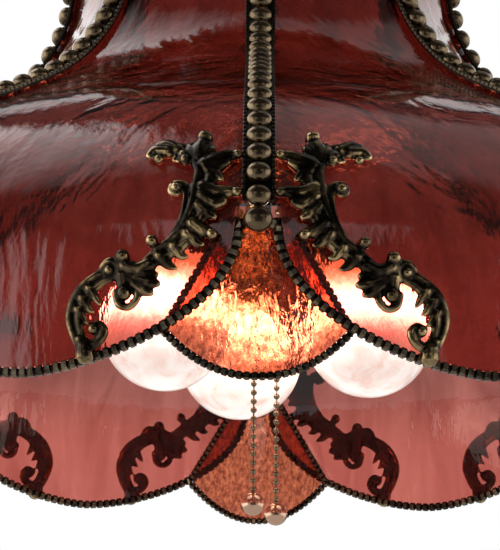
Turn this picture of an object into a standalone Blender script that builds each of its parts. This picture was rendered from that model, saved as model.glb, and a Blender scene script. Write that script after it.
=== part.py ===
"""Bent-glass pendant lamp.

An eight-sided bell shade of red glass panels in cast-brass ribs hangs on a loop and a stem.
Inside it, a cluster carries three round bulbs and two pull switches with ball chains.

Units are metres and +Z is up. The origin is the point where the hanging loop rests on its hook.
Two coordinates describe the shade. h is a height above the rim plane, the shade's lowest level.
s is the distance along the shade's profile, measured up the corner line from the rim plane.
An azimuth of 0 faces -Y, and azimuths grow towards +X.
"""

import bisect
import math

import bmesh
import bpy
from mathutils import Matrix, Vector

MM = 0.001
GAP = 0.3 * MM  # between pieces that touch

SIDES = 8
HALF_ANGLE = math.pi / SIDES
HANG_HEIGHT = 443 * MM  # from the rim plane up to the hook

# The corner line of the shade, from the rim plane up to the neck: radius and height.
CORNER_LINE = [
    (346 * MM, 0),
    (343 * MM, 50 * MM),
    (338 * MM, 92 * MM),
    (321 * MM, 123 * MM),
    (290 * MM, 156 * MM),
    (252 * MM, 181 * MM),
    (210 * MM, 200 * MM),
    (172 * MM, 220 * MM),
    (145 * MM, 244 * MM),
    (127 * MM, 272 * MM),
    (120 * MM, 300 * MM),
    (120 * MM, 345 * MM),
]
BULGE = 0.3  # how far a panel is bowed towards the circle through its corners

GLASS_THICKNESS = 3 * MM
SHOULDER_S = 122 * MM  # above this every row of a panel is level
SHOULDER_ROWS = 8
SKIRT_ROWS = 3
PANEL_COLUMNS = (0.99, 0.91, 0.88, 0.72, 0.4, 0.0)  # as shares of the half width

FOOT_S = 82 * MM  # where the ribs end and the lobes begin
LOBE_DROP = 75 * MM
LOBE_SHARE = 0.92  # the lobe's half width, as a share of the panel's
LOBE_POWER = 1.65
ARCH_RISE = 5 * MM

TRIM_WIDTH = 5.5 * MM
TRIM_DEPTH = 5 * MM
CAME_WIDTH = 4.4 * MM
CAME_DEPTH = 4 * MM
BOSS_RADIUS = 5 * MM
BOSS_BACK = 9 * MM
BOSS_FRONT = 6 * MM

TONGUE_SET_BACK = 6.5 * MM
TONGUE_BEND = 15 * MM
TONGUE_HALF_WIDTH = 50.5 * MM
TONGUE_TOP_HALF_WIDTH = 16 * MM
TONGUE_CORNER_S = 27 * MM
TONGUE_TOP_S = 86 * MM
TONGUE_POWER = 2.1

RIB_HALF_WIDTH = 9 * MM
RIB_UNDERSIDE = 2.8 * MM  # above the middle of the glass
RIB_THICKNESS = 1.7 * MM
RIB_CREST = 1.6 * MM

FILIGREE_UNDERSIDE = 2.9 * MM
FILIGREE_THICKNESS = 3 * MM
FILIGREE_CUT_STEP = 27 * MM
# One filigree, seen from outside: distance from the rib's corner line, and s.
FILIGREE_OUTLINE = [
    (91.5, 15.5),
    (99.5, 16),
    (106.5, 35.5),
    (101.5, 46),
    (82.5, 60),
    (73.5, 71),
    (58.5, 80),
    (47.5, 83.5),
    (50.5, 106),
    (43.5, 110.5),
    (36, 107.5),
    (38, 122.5),
    (58.5, 129),
    (53.5, 140.5),
    (42.5, 134.5),
    (29.5, 144.5),
    (26.5, 129),
    (10.5, 128),
    (23, 110.5),
    (10.5, 100),
    (26, 87.5),
    (23, 77),
    (38, 64),
    (51.5, 65),
    (54.5, 51),
    (69.5, 39),
    (76.5, 53),
    (93.5, 36.5),
    (94.5, 23),
    (85.5, 24),
]

NECK_RING_OUTER = 127 * MM
NECK_RING_LEDGE = 98 * MM
NECK_RING_INNER = 106 * MM
NECK_RING_HEIGHT = 13 * MM
LEDGE_HEIGHT = 3 * MM
SPIDER_THICKNESS = 4 * MM
SPIDER_ARM_WIDTH = 11 * MM
SPIDER_HUB_RADIUS = 15 * MM
CAP_HEIGHT = 38 * MM
CAP_THICKNESS = 2.5 * MM

STEM_RADIUS = 5.1 * MM
STEM_BORE = 3.5 * MM
STEM_HOLE = 5.4 * MM  # the hole of each piece that the stem goes through
STEM_COLLAR = 9 * MM
STEM_FOOT_H = 212 * MM
NUT_RADIUS = 11 * MM
NUT_HEIGHT = 6.5 * MM
LOOP_RADIUS = 16 * MM
LOOP_WIRE = 3.2 * MM
LOOP_BASE_RADIUS = 8 * MM
LOOP_SOCKET_DEPTH = 6 * MM

CLUSTER_H = 206 * MM  # where the axes of the bulbs meet
CLUSTER_RADIUS = 28 * MM
CLUSTER_ABOVE = 16 * MM
CLUSTER_BELOW = 22 * MM
ARM_RADIUS = 6 * MM
BULB_COUNT = 3
FIRST_BULB_AZIMUTH = math.radians(69)
BULB_TILT = math.radians(30)
BULB_REACH = 149 * MM  # from the cluster's centre to the globe's centre
BULB_RADIUS = 40 * MM
BULB_BASE_RADIUS = 13.2 * MM
BULB_WALL = 1.2 * MM
BULB_LENGTH = 81 * MM  # from the globe's centre to the end of its screw base
SOCKET_RADIUS = 16 * MM
SOCKET_BORE = 14 * MM
SOCKET_START = 54 * MM
SOCKET_FLOOR = 62 * MM
SOCKET_END = 102 * MM

PULL_POSITIONS = [(-2.5 * MM, -15 * MM), (12 * MM, 12 * MM)]
PULL_BALL_H = [-29.5 * MM, -32.5 * MM]
PULL_BALL_RADIUS = 7.3 * MM
CHAIN_RADIUS = 2 * MM
CHAIN_POINTS = 20
PLUNGER_RADIUS = 2.6 * MM
PLUNGER_BORE = 3.1 * MM
PLUNGER_INSERTION = 12 * MM
EYELET_RADIUS = 3.6 * MM
EYELET_LENGTH = 7 * MM
PLUNGER_BORE_DEPTH = 14 * MM


# ---------------------------------------------------------------- the scene and its materials


def clear_scene():
    for old in list(bpy.data.objects):
        bpy.data.objects.remove(old)


def new_collection(name):
    collection = bpy.data.collections.new(name)
    bpy.context.scene.collection.children.link(collection)
    return collection


clear_scene()
LAMP = new_collection("bent_glass_pendant_lamp")
CUTTERS = new_collection("cutters")


def material(name, colour, roughness, metallic=0.0):
    made = bpy.data.materials.new(name)
    made.use_nodes = True
    shader = made.node_tree.nodes["Principled BSDF"]
    shader.inputs["Base Color"].default_value = (*colour, 1)
    shader.inputs["Roughness"].default_value = roughness
    shader.inputs["Metallic"].default_value = metallic
    return made


RED_GLASS = material("red_glass", (0.32, 0.03, 0.03), 0.1)
HAMMERED_GLASS = material("hammered_red_glass", (0.25, 0.025, 0.02), 0.25)
ANTIQUE_BRASS = material("antique_brass", (0.16, 0.11, 0.06), 0.4, 1.0)
FITTING_BRASS = material("fitting_brass", (0.45, 0.3, 0.12), 0.35, 1.0)
FROSTED_BULB = material("frosted_bulb", (0.9, 0.85, 0.78), 0.4)
COPPER = material("copper", (0.55, 0.27, 0.16), 0.3, 1.0)


def link(obj, surface=None, collection=LAMP):
    collection.objects.link(obj)
    if surface:
        obj.data.materials.append(surface)
    return obj


def mesh_object(name, shape, surface, collection=LAMP):
    """A named object from a bmesh, which is freed."""
    mesh = bpy.data.meshes.new(name)
    shape.to_mesh(mesh)
    shape.free()
    return link(bpy.data.objects.new(name, mesh), surface, collection)


def smooth(obj, angle=40):
    obj.data.shade_smooth()
    obj.data.set_sharp_from_angle(angle=math.radians(angle))
    return obj


# ---------------------------------------------------------------- general shapes


def turned(name, outline, surface, steps=24):
    """A body turned about Z. The outline of (radius, z) runs down its outer side.

    An outline with no point on the axis is a closed loop, which makes a ring or a tube.
    """
    mesh = bpy.data.meshes.new(name)
    count = len(outline)
    edges = [(i, i + 1) for i in range(count - 1)]
    if min(radius for radius, _ in outline) > 0:
        edges.append((count - 1, 0))
    mesh.from_pydata([(radius, 0, z) for radius, z in outline], edges, [])
    obj = link(bpy.data.objects.new(name, mesh), surface)
    screw = obj.modifiers.new("turn", "SCREW")
    screw.steps = steps
    screw.render_steps = steps
    screw.use_merge_vertices = True
    screw.merge_threshold = 0.00001
    screw.use_smooth_shade = True
    return obj


def cylinder(name, radius, low, high, surface=None, collection=LAMP, vertices=24):
    """A solid cylinder about Z from low to high."""
    shape = bmesh.new()
    bmesh.ops.create_cone(
        shape, cap_ends=True, segments=vertices, radius1=radius, radius2=radius, depth=high - low
    )
    bmesh.ops.translate(shape, verts=shape.verts, vec=(0, 0, (high + low) / 2))
    return mesh_object(name, shape, surface, collection)


def combine(obj, tool, operation):
    """Joins tool to obj, or cuts it away, and files the tool with the cutters."""
    boolean = obj.modifiers.new(operation.lower(), "BOOLEAN")
    boolean.operation = operation
    boolean.solver = "EXACT"
    boolean.object = tool
    if tool.name in LAMP.objects:
        LAMP.objects.unlink(tool)
        CUTTERS.objects.link(tool)
    tool.hide_render = True
    tool.display_type = "WIRE"


def grid_shell(rows):
    """A closed sheet from a grid of (outer point, inner point) pairs."""
    shape = bmesh.new()
    outer = [[shape.verts.new(pair[0]) for pair in row] for row in rows]
    inner = [[shape.verts.new(pair[1]) for pair in row] for row in rows]
    last_row = len(rows) - 1
    last_column = len(rows[0]) - 1
    for i in range(last_row):
        for j in range(last_column):
            shape.faces.new((outer[i][j], outer[i][j + 1], outer[i + 1][j + 1], outer[i + 1][j]))
            shape.faces.new((inner[i][j], inner[i + 1][j], inner[i + 1][j + 1], inner[i][j + 1]))
    border = [(0, j) for j in range(last_column)]
    border += [(i, last_column) for i in range(last_row)]
    border += [(last_row, j) for j in range(last_column, 0, -1)]
    border += [(i, 0) for i in range(last_row, 0, -1)]
    for (i, j), (k, m) in zip(border, border[1:] + border[:1]):
        shape.faces.new((outer[i][j], inner[i][j], inner[k][m], outer[k][m]))
    bmesh.ops.recalc_face_normals(shape, faces=shape.faces)
    return shape


def swept_loop(points, normals, width, depth):
    """A bar of rectangular section along a closed path, its depth along the normals."""
    shape = bmesh.new()
    rings = []
    count = len(points)
    for i, (point, normal) in enumerate(zip(points, normals)):
        along = (points[(i + 1) % count] - points[i - 1]).normalized()
        across = along.cross(normal).normalized()
        corners = [(1, 1), (-1, 1), (-1, -1), (1, -1)]
        rings.append(
            [shape.verts.new(point + across * a * width / 2 + normal * b * depth / 2) for a, b in corners]
        )
    for i in range(count):
        here = rings[i]
        following = rings[(i + 1) % count]
        for k in range(4):
            shape.faces.new((here[k], here[(k + 1) % 4], following[(k + 1) % 4], following[k]))
    bmesh.ops.recalc_face_normals(shape, faces=shape.faces)
    return shape


# ---------------------------------------------------------------- the shade's surface


def catmull_rom(points, per_span=12):
    """Points along a smooth curve through the given (radius, height) points."""
    ends = [points[0]] + points + [points[-1]]
    curve = []
    for a, b, c, d in zip(ends, ends[1:], ends[2:], ends[3:]):
        for step in range(per_span):
            u = step / per_span
            curve.append(
                tuple(
                    0.5
                    * (
                        2 * b[i]
                        + (c[i] - a[i]) * u
                        + (2 * a[i] - 5 * b[i] + 4 * c[i] - d[i]) * u**2
                        + (3 * b[i] - a[i] - 3 * c[i] + d[i]) * u**3
                    )
                    for i in range(2)
                )
            )
    return curve + [points[-1]]


CURVE = catmull_rom(CORNER_LINE)
CURVE_S = [0.0]
for before, after in zip(CURVE, CURVE[1:]):
    CURVE_S.append(CURVE_S[-1] + math.dist(before, after))
TOP_S = CURVE_S[-1]


def corner_line(s):
    """The radius and height of the corner line at s."""
    i = min(max(bisect.bisect(CURVE_S, s), 1), len(CURVE_S) - 1)
    share = (s - CURVE_S[i - 1]) / (CURVE_S[i] - CURVE_S[i - 1])
    low = CURVE[i - 1]
    high = CURVE[i]
    return low[0] + (high[0] - low[0]) * share, low[1] + (high[1] - low[1]) * share


def around(azimuth, out, along, h):
    """A point at a distance out from the lamp's axis and along the tangent, at height h."""
    return Vector(
        (
            out * math.sin(azimuth) + along * math.cos(azimuth),
            -out * math.cos(azimuth) + along * math.sin(azimuth),
            h - HANG_HEIGHT,
        )
    )


def half_width(s):
    return corner_line(s)[0] * math.sin(HALF_ANGLE)


def panel_middle(azimuth, t, s):
    """The middle of the glass of the panel that faces azimuth. t runs from -1 to 1 across it."""
    radius, h = corner_line(s)
    flat = radius * math.cos(HALF_ANGLE)
    bowed = BULGE * radius * (1 - math.cos(HALF_ANGLE)) * (1 - t * t)
    return around(azimuth, flat + bowed, t * half_width(s), h)


def panel_normal(azimuth, t, s):
    step = 1 * MM
    along = panel_middle(azimuth, t + 0.01, s) - panel_middle(azimuth, t - 0.01, s)
    up = panel_middle(azimuth, t, s + step) - panel_middle(azimuth, t, s - step)
    return along.cross(up).normalized()


def panel_point(azimuth, t, s, out=0.0):
    return panel_middle(azimuth, t, s) + panel_normal(azimuth, t, s) * out


def corner_normal(azimuth, s):
    step = 1 * MM
    (r0, h0), (r1, h1) = corner_line(s - step), corner_line(s + step)
    slope = math.atan2(h1 - h0, r1 - r0)
    return around(azimuth, math.sin(slope), 0, HANG_HEIGHT - math.cos(slope))


def corner_point(azimuth, s, out=0.0):
    radius, h = corner_line(s)
    return around(azimuth, radius, 0, h) + corner_normal(azimuth, s) * out


def beside_rib(azimuth, side, distance, s, out):
    """A point on the panel beside a rib, at a distance from the rib's corner line."""
    t = 1 - distance / half_width(s)
    return panel_point(azimuth + side * HALF_ANGLE, -side * t, s, out)


# ---------------------------------------------------------------- the shade's pieces


def lobe_edge(t):
    """s of the middle of the trim along a panel's lobe."""
    share = min(abs(t) / LOBE_SHARE, 1)
    return FOOT_S - LOBE_DROP * math.sqrt(1 - share**LOBE_POWER)


def glass_edge(t):
    """s of the panel's lower edge, which stands on the trim."""
    inset = TRIM_WIDTH / 2 + 3 * GAP
    share = abs(t) * half_width(FOOT_S) / (LOBE_SHARE * half_width(FOOT_S) - inset)
    if share >= 1:
        return FOOT_S + ARCH_RISE + TRIM_WIDTH + 2 * MM
    return FOOT_S + inset - LOBE_DROP * math.sqrt(1 - share**LOBE_POWER)


def row_heights(edge):
    """The s of each row of a panel or rib, from the neck down to its lower edge."""
    upper = [TOP_S + (SHOULDER_S - TOP_S) * i / SHOULDER_ROWS for i in range(SHOULDER_ROWS)]
    lower = [SHOULDER_S + (edge - SHOULDER_S) * i / SKIRT_ROWS for i in range(SKIRT_ROWS + 1)]
    return upper + lower


def glass_panel(number, azimuth):
    shares = [-t for t in PANEL_COLUMNS] + list(PANEL_COLUMNS[-2::-1])
    half = GLASS_THICKNESS / 2
    columns = []
    for t in shares:
        heights = row_heights(glass_edge(t))
        column = []
        for s in heights:
            column.append((panel_point(azimuth, t, s, half), panel_point(azimuth, t, s, -half)))
        columns.append(column)
    rows = list(zip(*columns))
    smooth(mesh_object(f"glass_panel_{number}", grid_shell(rows), RED_GLASS))


def tongue_point(azimuth, x, s, out=0.0):
    """A point on the tongue behind a rib's foot, which is bent round the corner."""
    radius, h = corner_line(s)
    back = (math.hypot(x, TONGUE_BEND) - TONGUE_BEND) * math.tan(HALF_ANGLE)
    turn = math.atan2(x * math.tan(HALF_ANGLE), math.hypot(x, TONGUE_BEND))
    return around(
        azimuth,
        radius - TONGUE_SET_BACK - back + out * math.cos(turn),
        x + out * math.sin(turn),
        h,
    )


def tongue_panel(number, azimuth):
    inset = CAME_WIDTH / 2 + GAP
    rows = []
    for i in range(4):
        rise = i / 3
        row = []
        for j in range(7):
            q = j / 3 - 1
            low_s = TONGUE_CORNER_S * abs(q) ** TONGUE_POWER + inset
            high_s = TONGUE_TOP_S - 1.6 * inset
            low_x = (TONGUE_HALF_WIDTH - 1.7 * inset) * q
            high_x = (TONGUE_TOP_HALF_WIDTH - inset) * q
            x = low_x + (high_x - low_x) * rise
            s = low_s + (high_s - low_s) * rise
            half = GLASS_THICKNESS / 2.4
            row.append((tongue_point(azimuth, x, s, half), tongue_point(azimuth, x, s, -half)))
        rows.append(row)
    smooth(mesh_object(f"tongue_panel_{number}", grid_shell(rows), HAMMERED_GLASS))


def rib(number, azimuth):
    """The V-section strap over a corner, with a raised crest."""
    foot = FOOT_S + ARCH_RISE + BOSS_RADIUS + 2.5 * MM
    rows = []
    for s in row_heights(foot):
        row = []
        for side in (-1, 0, 1):
            low = RIB_UNDERSIDE
            high = RIB_UNDERSIDE + RIB_THICKNESS
            if side:
                outer = beside_rib(azimuth, side, RIB_HALF_WIDTH, s, high)
                inner = beside_rib(azimuth, side, RIB_HALF_WIDTH, s, low)
            else:
                outer = corner_point(azimuth, s, high + RIB_CREST)
                inner = corner_point(azimuth, s, low)
            row.append((outer, inner))
        rows.append(row)
    smooth(mesh_object(f"rib_{number}", grid_shell(rows), ANTIQUE_BRASS))


def filigree_plate():
    """The filigree's plate laid flat: x is the distance from the rib, y is s, z is outward."""
    curve = bpy.data.curves.new("filigree_outline", "CURVE")
    curve.dimensions = "2D"
    curve.fill_mode = "BOTH"
    curve.extrude = FILIGREE_THICKNESS / 2
    spline = curve.splines.new("POLY")
    spline.points.add(len(FILIGREE_OUTLINE) - 1)
    for point, (x, s) in zip(spline.points, FILIGREE_OUTLINE):
        point.co = (x * MM, s * MM, 0, 1)
    spline.use_cyclic_u = True
    outline = link(bpy.data.objects.new("filigree_outline", curve), collection=CUTTERS)
    bpy.context.view_layer.update()
    evaluated = outline.evaluated_get(bpy.context.evaluated_depsgraph_get())
    mesh = bpy.data.meshes.new_from_object(evaluated)
    bpy.data.objects.remove(outline)
    plate = bmesh.new()
    plate.from_mesh(mesh)
    bmesh.ops.remove_doubles(plate, verts=plate.verts, dist=0.00001)
    for axis in (0, 1):
        normal = Vector((1 - axis, axis, 0))
        for cut in range(1, 6):
            everything = plate.verts[:] + plate.edges[:] + plate.faces[:]
            bmesh.ops.bisect_plane(
                plate, geom=everything, plane_co=normal * cut * FILIGREE_CUT_STEP, plane_no=normal
            )
    bmesh.ops.triangulate(plate, faces=plate.faces)
    return plate


def filigree(name, azimuth, side, plate):
    """Bends the flat plate onto the panel beside a rib."""
    shape = plate.copy()
    middle = FILIGREE_UNDERSIDE + FILIGREE_THICKNESS / 2
    for vert in shape.verts:
        x, s, z = vert.co
        vert.co = beside_rib(azimuth, side, x, s, middle + z)
    if side < 0:
        bmesh.ops.reverse_faces(shape, faces=shape.faces)
    smooth(mesh_object(name, shape, ANTIQUE_BRASS))


def lobe_trim_path():
    """The points and outward normals of the trim, round all the lobes."""
    points = []
    normals = []
    arc_steps = 12
    for number in range(SIDES):
        azimuth = (number + 0.5) * 2 * HALF_ANGLE
        for step in range(arc_steps + 1):
            angle = (step / arc_steps - 0.5) * math.pi
            t = math.copysign(LOBE_SHARE * abs(math.sin(angle)) ** (2 / LOBE_POWER), angle)
            s = FOOT_S - LOBE_DROP * math.cos(angle)
            points.append(panel_point(azimuth, t, s))
            normals.append(panel_normal(azimuth, t, s))
        corner_azimuth = (number + 1) * 2 * HALF_ANGLE
        points.append(corner_point(corner_azimuth, FOOT_S + ARCH_RISE))
        normals.append(corner_normal(corner_azimuth, FOOT_S + ARCH_RISE))
    return points, normals


def tongue_came(azimuth):
    """The came round a tongue, as a closed loop."""
    outline = []
    arc_steps = 8
    for step in range(arc_steps + 1):
        q = 2 * step / arc_steps - 1
        outline.append((TONGUE_HALF_WIDTH * q, TONGUE_CORNER_S * abs(q) ** TONGUE_POWER))
    middle_x = (TONGUE_HALF_WIDTH + TONGUE_TOP_HALF_WIDTH) / 2
    middle_s = (TONGUE_CORNER_S + TONGUE_TOP_S) / 2
    outline += [(middle_x, middle_s), (TONGUE_TOP_HALF_WIDTH, TONGUE_TOP_S), (0, TONGUE_TOP_S)]
    outline += [(-TONGUE_TOP_HALF_WIDTH, TONGUE_TOP_S), (-middle_x, middle_s)]
    points = [tongue_point(azimuth, x, s) for x, s in outline]
    normals = []
    for (x, s), point in zip(outline, points):
        normals.append((tongue_point(azimuth, x, s, MM) - point).normalized())
    return swept_loop(points, normals, CAME_WIDTH, CAME_DEPTH)


def rim_trim():
    """All the lobe trims and tongue cames, soldered together at a boss under each rib."""
    points, normals = lobe_trim_path()
    lobes = swept_loop(points, normals, TRIM_WIDTH, TRIM_DEPTH)
    trim = mesh_object("rim_trim", lobes, ANTIQUE_BRASS)
    for number in range(SIDES):
        azimuth = number * 2 * HALF_ANGLE
        came = mesh_object(f"came_{number + 1}", tongue_came(azimuth), None, CUTTERS)
        combine(trim, came, "UNION")
        boss = cylinder(
            f"boss_{number + 1}", BOSS_RADIUS, -BOSS_BACK, BOSS_FRONT, collection=CUTTERS, vertices=10
        )
        place = corner_point(azimuth, FOOT_S + ARCH_RISE + 1 * MM)
        outward = around(azimuth, 1, 0, HANG_HEIGHT)
        turn = Vector((0, 0, 1)).rotation_difference(outward).to_matrix().to_4x4()
        boss.matrix_world = Matrix.Translation(place) @ turn
        combine(trim, boss, "UNION")
    return trim


# ---------------------------------------------------------------- the fittings above the shade


def at(h):
    """The z of a height above the rim plane."""
    return h - HANG_HEIGHT


NECK_H = CORNER_LINE[-1][1]
RING_FOOT_H = NECK_H + GAP
LEDGE_H = RING_FOOT_H + LEDGE_HEIGHT
RING_TOP_H = RING_FOOT_H + NECK_RING_HEIGHT
SPIDER_H = LEDGE_H + GAP
CAP_H = RING_TOP_H + GAP
CAP_TOP_H = CAP_H + CAP_HEIGHT
NUT_H = CAP_TOP_H + GAP
LOOP_BASE_H = NUT_H + NUT_HEIGHT + GAP
STEM_TOP_H = LOOP_BASE_H + LOOP_SOCKET_DEPTH - GAP


def crown_ring():
    turned(
        "crown_ring",
        [
            (NECK_RING_OUTER, at(RING_TOP_H)),
            (NECK_RING_OUTER, at(RING_FOOT_H)),
            (NECK_RING_LEDGE, at(RING_FOOT_H)),
            (NECK_RING_LEDGE, at(LEDGE_H)),
            (NECK_RING_INNER, at(LEDGE_H)),
            (NECK_RING_INNER, at(RING_TOP_H)),
        ],
        ANTIQUE_BRASS,
        steps=24,
    )


def spider():
    """Two crossed bars on a hub, resting on the crown ring's ledge."""
    hub = cylinder("spider", SPIDER_HUB_RADIUS, at(SPIDER_H), at(SPIDER_H + SPIDER_THICKNESS), FITTING_BRASS)
    reach = NECK_RING_INNER - 1 * MM
    for number in range(2):
        shape = bmesh.new()
        bmesh.ops.create_cube(shape, size=1)
        # A hair thinner than the hub, so that no faces coincide in the union.
        size = Vector((2 * reach, SPIDER_ARM_WIDTH, SPIDER_THICKNESS - 0.4 * MM))
        bmesh.ops.scale(shape, verts=shape.verts, vec=size)
        turn = Matrix.Rotation(math.radians(45 + 90 * number), 4, "Z")
        shift = Matrix.Translation((0, 0, at(SPIDER_H + SPIDER_THICKNESS / 2) + 0.02 * MM * number))
        bmesh.ops.transform(shape, verts=shape.verts, matrix=shift @ turn)
        combine(hub, mesh_object(f"spider_bar_{number + 1}", shape, None, CUTTERS), "UNION")
    hole = cylinder("spider_hole", STEM_HOLE, at(SPIDER_H - MM), at(SPIDER_H + 6 * MM), collection=CUTTERS)
    combine(hub, hole, "DIFFERENCE")


def vent_cap():
    """A domed brass cap over the neck."""
    outer = [
        (STEM_HOLE, CAP_TOP_H),
        (16 * MM, CAP_TOP_H),
        (24 * MM, CAP_TOP_H - 7 * MM),
        (62 * MM, CAP_TOP_H - 13 * MM),
        (104 * MM, CAP_TOP_H - 26 * MM),
        (NECK_RING_OUTER, CAP_H),
    ]
    inner = [
        (NECK_RING_OUTER - 1.4 * CAP_THICKNESS, CAP_H),
        (102 * MM, CAP_TOP_H - 26 * MM - CAP_THICKNESS),
        (61 * MM, CAP_TOP_H - 13 * MM - CAP_THICKNESS),
        (22 * MM, CAP_TOP_H - 7 * MM - CAP_THICKNESS),
        (14 * MM, CAP_TOP_H - CAP_THICKNESS),
        (STEM_HOLE, CAP_TOP_H - CAP_THICKNESS),
    ]
    turned("vent_cap", [(r, at(h)) for r, h in outer + inner], ANTIQUE_BRASS, steps=24)


def stem():
    """A threaded pipe with a collar that holds the spider up."""
    collar_top = SPIDER_H - GAP
    outline = [
        (STEM_RADIUS, STEM_TOP_H),
        (STEM_RADIUS, collar_top),
        (STEM_COLLAR, collar_top),
        (STEM_COLLAR, collar_top - 6 * MM),
        (STEM_RADIUS, collar_top - 6 * MM),
        (STEM_RADIUS, STEM_FOOT_H),
        (STEM_BORE, STEM_FOOT_H),
        (STEM_BORE, STEM_TOP_H),
    ]
    turned("stem", [(r, at(h)) for r, h in outline], FITTING_BRASS, steps=16)


def cap_nut():
    bore = STEM_HOLE / math.cos(math.pi / 6)
    low = at(NUT_H)
    high = at(NUT_H + NUT_HEIGHT)
    outline = [(NUT_RADIUS, high), (NUT_RADIUS, low), (bore, low), (bore, high)]
    turned("cap_nut", outline, FITTING_BRASS, steps=6)


def hanging_loop():
    """An eye on a threaded base. The hook rests in the top of its hole, at the origin."""
    centre_z = LOOP_WIRE - LOOP_RADIUS
    bpy.ops.mesh.primitive_torus_add(
        major_segments=20,
        minor_segments=8,
        major_radius=LOOP_RADIUS,
        minor_radius=LOOP_WIRE,
        location=(0, 0, centre_z),
        rotation=(math.pi / 2, 0, 0),
    )
    eye = bpy.context.active_object
    eye.name = "hanging_loop"
    for collection in list(eye.users_collection):
        collection.objects.unlink(eye)
    link(eye, FITTING_BRASS)
    base_top = centre_z - LOOP_RADIUS + LOOP_WIRE / 2
    base = cylinder("loop_base", LOOP_BASE_RADIUS, at(LOOP_BASE_H), base_top, collection=CUTTERS)
    combine(eye, base, "UNION")
    socket_low = at(LOOP_BASE_H - MM)
    socket_high = at(LOOP_BASE_H + LOOP_SOCKET_DEPTH)
    socket = cylinder("loop_socket", STEM_HOLE, socket_low, socket_high, collection=CUTTERS)
    combine(eye, socket, "DIFFERENCE")
    smooth(eye)


# ---------------------------------------------------------------- the cluster, bulbs and pulls


def bulb_direction(number):
    azimuth = FIRST_BULB_AZIMUTH + number * 2 * math.pi / BULB_COUNT
    out = math.sin(BULB_TILT)
    return around(azimuth, out, 0, HANG_HEIGHT - math.cos(BULB_TILT))


def aim(obj, number):
    """Turns a piece that was made hanging straight down below the cluster's centre."""
    turn = Vector((0, 0, -1)).rotation_difference(bulb_direction(number))
    obj.rotation_mode = "QUATERNION"
    obj.rotation_quaternion = turn
    obj.location = (0, 0, at(CLUSTER_H))
    return obj


def cluster_body():
    """The housing that holds the two pull switches, with a nipple for each lamp holder."""
    centre = at(CLUSTER_H)
    stem_floor = at(STEM_FOOT_H) - GAP
    neck = CLUSTER_ABOVE + 8 * MM
    body = turned(
        "cluster_body",
        [
            (0, stem_floor),
            (STEM_HOLE, stem_floor),
            (STEM_HOLE, centre + neck),
            (9 * MM, centre + neck),
            (11 * MM, centre + CLUSTER_ABOVE),
            (CLUSTER_RADIUS - 6 * MM, centre + CLUSTER_ABOVE - 2 * MM),
            (CLUSTER_RADIUS, centre + 4 * MM),
            (CLUSTER_RADIUS, centre - CLUSTER_BELOW + 4 * MM),
            (CLUSTER_RADIUS - 4 * MM, centre - CLUSTER_BELOW),
            (0, centre - CLUSTER_BELOW),
        ],
        FITTING_BRASS,
    )
    for number in range(BULB_COUNT):
        arm = cylinder(
            f"cluster_arm_{number + 1}",
            ARM_RADIUS,
            -SOCKET_START + GAP,
            -12 * MM,
            collection=CUTTERS,
            vertices=16,
        )
        combine(body, aim(arm, number), "UNION")
    floor = centre - CLUSTER_BELOW
    for number, (x, y) in enumerate(PULL_POSITIONS):
        bore = cylinder(
            f"switch_bore_{number + 1}",
            PLUNGER_BORE,
            floor - MM,
            floor + PLUNGER_BORE_DEPTH,
            collection=CUTTERS,
            vertices=16,
        )
        bore.location = (x, y, 0)
        combine(body, bore, "DIFFERENCE")


def lamp_holder(number):
    """A shell with a deep bore for the bulb's screw base."""
    holder = turned(
        f"socket_{number + 1}",
        [
            (0, -SOCKET_START),
            (SOCKET_RADIUS - 3 * MM, -SOCKET_START),
            (SOCKET_RADIUS, -SOCKET_START - 4 * MM),
            (SOCKET_RADIUS, -SOCKET_END),
            (SOCKET_BORE, -SOCKET_END),
            (SOCKET_BORE, -SOCKET_FLOOR),
            (0, -SOCKET_FLOOR),
        ],
        FITTING_BRASS,
        steps=16,
    )
    aim(holder, number)


def bulb(number):
    """A hollow round globe on a screw base, open where the base's cap would close it."""
    base_end = BULB_REACH - BULB_LENGTH
    neck_end = SOCKET_END + 2 * MM
    first = math.radians(28)
    arc_steps = 6
    outer = [(BULB_BASE_RADIUS, -base_end), (BULB_BASE_RADIUS, -neck_end)]
    inner = [(BULB_BASE_RADIUS - BULB_WALL, -base_end), (BULB_BASE_RADIUS - BULB_WALL, -neck_end)]
    for step in range(arc_steps):
        angle = first + (math.pi - first) * step / arc_steps
        for outline, radius in ((outer, BULB_RADIUS), (inner, BULB_RADIUS - BULB_WALL)):
            outline.append((radius * math.sin(angle), -BULB_REACH + radius * math.cos(angle)))
    outer.append((0, -BULB_REACH - BULB_RADIUS))
    inner.append((0, -BULB_REACH - BULB_RADIUS + BULB_WALL))
    aim(turned(f"bulb_{number + 1}", inner[::-1] + outer, FROSTED_BULB, steps=16), number)


def pull(number):
    """A sprung plunger with a bell-mouth eyelet, its ball chain and the ball on the end."""
    x, y = PULL_POSITIONS[number]
    floor_h = CLUSTER_H - CLUSTER_BELOW
    mouth_h = floor_h - GAP - EYELET_LENGTH
    plunger = turned(
        f"pull_eyelet_{number + 1}",
        [
            (0, at(floor_h + PLUNGER_INSERTION)),
            (PLUNGER_RADIUS, at(floor_h + PLUNGER_INSERTION)),
            (PLUNGER_RADIUS, at(floor_h - GAP)),
            (EYELET_RADIUS, at(floor_h - GAP - 2 * MM)),
            (EYELET_RADIUS, at(mouth_h)),
            (0, at(mouth_h)),
        ],
        FITTING_BRASS,
        steps=12,
    )
    plunger.location = (x, y, 0)
    high = at(mouth_h - GAP)
    low = at(PULL_BALL_H[number] + PULL_BALL_RADIUS + GAP)
    chain_tube(number, x, y, high, low)
    shape = bmesh.new()
    bmesh.ops.create_uvsphere(shape, u_segments=12, v_segments=8, radius=PULL_BALL_RADIUS)
    ball = smooth(mesh_object(f"pull_ball_{number + 1}", shape, COPPER))
    ball.location = (x, y, at(PULL_BALL_H[number]))


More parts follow.
